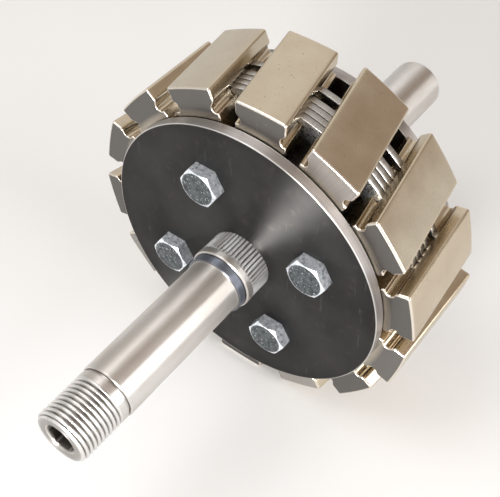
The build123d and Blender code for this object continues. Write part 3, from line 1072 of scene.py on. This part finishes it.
def build_plates(steel):
    for name in PLATE_NODES:
        low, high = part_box(name)
        shell = bmesh.new()
        wear_highlight_layer = shell.verts.layers.float.new("edge_wear_and_highlight")
        groove_shade_layer = shell.verts.layers.float.new("painted_groove_shade")
        edge = PLATE_EDGE
        # Rows: station, inset of the rim edge, share of painted highlight (with edge wear), share of
        # painted shade. The front rounding is painted bright, the rear rounding and the front corner
        # dark, as shade in the gaps between plates.
        rows = [
            (low.y, edge, 0.0, 0.6), (low.y + edge * 0.3, edge * 0.3, 1.0, 0.0),
            (low.y + edge, 0.0, 0.5, 0.0), (high.y - edge, 0.0, 0.0, 0.2),
            (high.y - edge * 0.3, edge * 0.3, 0.0, 1.0), (high.y, edge, 0.0, 1.0),
        ]
        rings = []
        for station, back, wear_and_highlight_amount, groove_shade in rows:
            outline = plate_outline(station)
            rim = [math.hypot(x, z) > PLATE_R - 0.4 * MM for x, z in outline]
            points = inset(outline, [back if on_rim else 0.0 for on_rim in rim])
            ring = []
            for (x, z), on_rim in zip(points, rim):
                vert = shell.verts.new((x, station, z))
                vert[wear_highlight_layer] = wear_and_highlight_amount if on_rim else 0.0
                vert[groove_shade_layer] = groove_shade if on_rim else 0.0
                ring.append(vert)
            rings.append(ring)
        for first, second in zip(rings, rings[1:]):
            join_rings(shell, first, second)
        bores = [ring_of_points(shell, station, PLATE_BORE_R, PLATE_BORE_POINTS)
                 for station in (low.y, high.y)]
        join_rings(shell, bores[1], bores[0])
        for ring, bore in ((rings[0], bores[0]), (rings[-1], bores[1])):
            loop = []
            for verts in (ring, bore):
                for number in range(len(verts)):
                    ends = (verts[number], verts[(number + 1) % len(verts)])
                    loop.append(shell.edges.get(ends) or shell.edges.new(ends))
            bmesh.ops.triangle_fill(shell, use_beauty=True, use_dissolve=False, edges=loop)
        mesh = mesh_from_shell(shell, name + "_finished", steel, 35.0)
        seat(new_piece(name + "_finished", mesh), "plate_steel", name)


def hex_rows(free_end, seat_end):
    """Rows of a hexagon whose corners are turned off at its free end."""
    inward = math.copysign(1.0, seat_end - free_end)
    flat_r = HEX_HALF * HEX_CROWN_SHARE
    corner_r = HEX_HALF / math.cos(math.pi / 6)
    across = hexagon(HEX_HALF)
    drop = (corner_r - flat_r) * math.tan(HEX_CROWN_ANGLE)
    rows = [(0, free_end), (flat_r * 0.5, free_end), (flat_r - 0.3 * MM, free_end),
            (flat_r - 0.08 * MM, free_end), (flat_r, free_end + inward * 0.02 * MM)]
    # Share of painted edge highlight, with edge wear, per row: full on the crown's edge, less on the
    # turned-off corners.
    wear_and_highlight = [0.0, 0.0, 0.0, 0.4, 1.0]
    for step in range(1, HEX_CONE_ROWS + 1):
        share = step / HEX_CONE_ROWS
        cone = flat_r + (corner_r - flat_r) * share
        rows.append((lambda angle, cone=cone: min(cone, across(angle)), free_end + inward * drop * share))
        wear_and_highlight.append(0.35)
    rows += [(across, free_end + inward * (drop + 0.3 * MM)), (across, seat_end),
             (BOLT_R * BOLT_CORE_SHARE, seat_end)]
    wear_and_highlight += [0.0, 0.0, 0.0]
    return rows, wear_and_highlight


def build_bolts(zinc, around, sleeve):
    ring_values = {"Count": len(BOLT_NODES), "Circle Radius": BOLT_CIRCLE_R, "First Angle": BOLT_PHASE,
                   "Turn Pieces": 0.0, "Material": zinc}
    rows, wear_and_highlight = hex_rows(FRONT_LOW.y - HEAD_HEIGHT, FRONT_LOW.y)
    rows += [(BOLT_R * BOLT_CORE_SHARE, REAR_HIGH.y), (0, REAR_HIGH.y)]
    wear_and_highlight += [0.0, 0.0]
    head = mesh_from_shell(turned_solid(rows, HEX_POINTS, wear_and_highlight), "bolt_head", zinc, 24.0)
    heads = grown("bolt_heads", around, ring_values, seed=head)
    seat(heads, "fastener_zinc", *BOLT_NODES)

    rows, wear_and_highlight = hex_rows(REAR_HIGH.y + NUT_HEIGHT, REAR_HIGH.y)
    rows.append((0, REAR_HIGH.y))
    wear_and_highlight.append(0.0)
    nut = mesh_from_shell(turned_solid(rows, HEX_POINTS, wear_and_highlight), "nut_body", zinc, 24.0)
    nuts = grown("nuts_finished", around, ring_values, seed=nut)
    seat(nuts, "fastener_zinc", *NUT_NODES)

    start = REAR_HIGH.y + NUT_HEIGHT - THREAD_SUNK
    length = BOLT_POINT + THREAD_SUNK
    tail = grown("bolt_tail", sleeve, {
        "Start": start, "Length": length, "Crest Radius": BOLT_R, "Inner Radius": 0.05 * MM,
        "Groove Depth": BOLT_THREAD_DEPTH, "Crest Share": 0.25, "Ridges Around": 1.0,
        "Ridges Along": length / BOLT_PITCH, "Fade In": NO_FADE, "Fade Out": 0.3 * MM,
        "Lead Radius": NO_CHAMFER,
        "Tail Radius": BOLT_R - BOLT_TIP_CHAMFER, "Rows": 26, "Columns": 48, "Material": zinc,
    }, sharp_angle=60.0)
    template = tail.data
    bpy.data.objects.remove(tail)
    tails = grown("bolt_tails", around, ring_values, seed=template)
    seat(tails, "fastener_zinc", *BOLT_NODES)


place_camera()
build_world()
build_floor()
soft_lamp("side_box", (0.92, 0.02, 0.38), 0.9, 0.5, 0.75, 5.0)
soft_lamp("front_box", (0.13, -0.98, 0.12), 0.8, 0.22, 0.22, 9.0)
soft_lamp("top_box", (-0.35, -0.30, 0.90), 1.1, 0.6, 0.6, 3.4)

SHAFT_STEEL = ground_steel("ground_shaft", (0.76, 0.74, 0.72), (0.60, 0.56, 0.52), 0.30, 0.40)
KNURL_STEEL = ground_steel("knurled_steel", (0.86, 0.87, 0.88), (0.68, 0.68, 0.69), 0.34, 0.44)
THREAD_STEEL = ground_steel("threaded_steel", (0.84, 0.82, 0.81), (0.68, 0.65, 0.63), 0.22, 0.32,
                            anisotropic=0.0)
RING_STEEL = ground_steel("stop_ring", (0.36, 0.40, 0.46), (0.17, 0.18, 0.22), 0.34, 0.44)
DISC_STEEL = disc_steel("polished_disc")
PLATE_STEEL = stamped_steel("stamped_plate")
MAGNET_PLATING = nickel_plating("nickel_magnet")
FASTENER_ZINC = bright_zinc("zinc_fastener")

SLEEVE = sleeve_tree()
AROUND = around_tree()
build_shaft(SHAFT_STEEL, RING_STEEL, KNURL_STEEL, THREAD_STEEL, SLEEVE)
build_disc("front_disc", FRONT_LOW.y, FRONT_HIGH.y, DISC_STEEL)
build_disc("rear_disc", REAR_LOW.y, REAR_HIGH.y, DISC_STEEL)
build_magnets(MAGNET_PLATING, AROUND)
build_plates(PLATE_STEEL)
build_bolts(FASTENER_ZINC, AROUND, SLEEVE)
for name in SPACER_NODES:
    nodes[name].data.materials.clear()
    nodes[name].data.materials.append(PLATE_STEEL)

bpy.context.scene.view_settings.view_transform = "Standard"
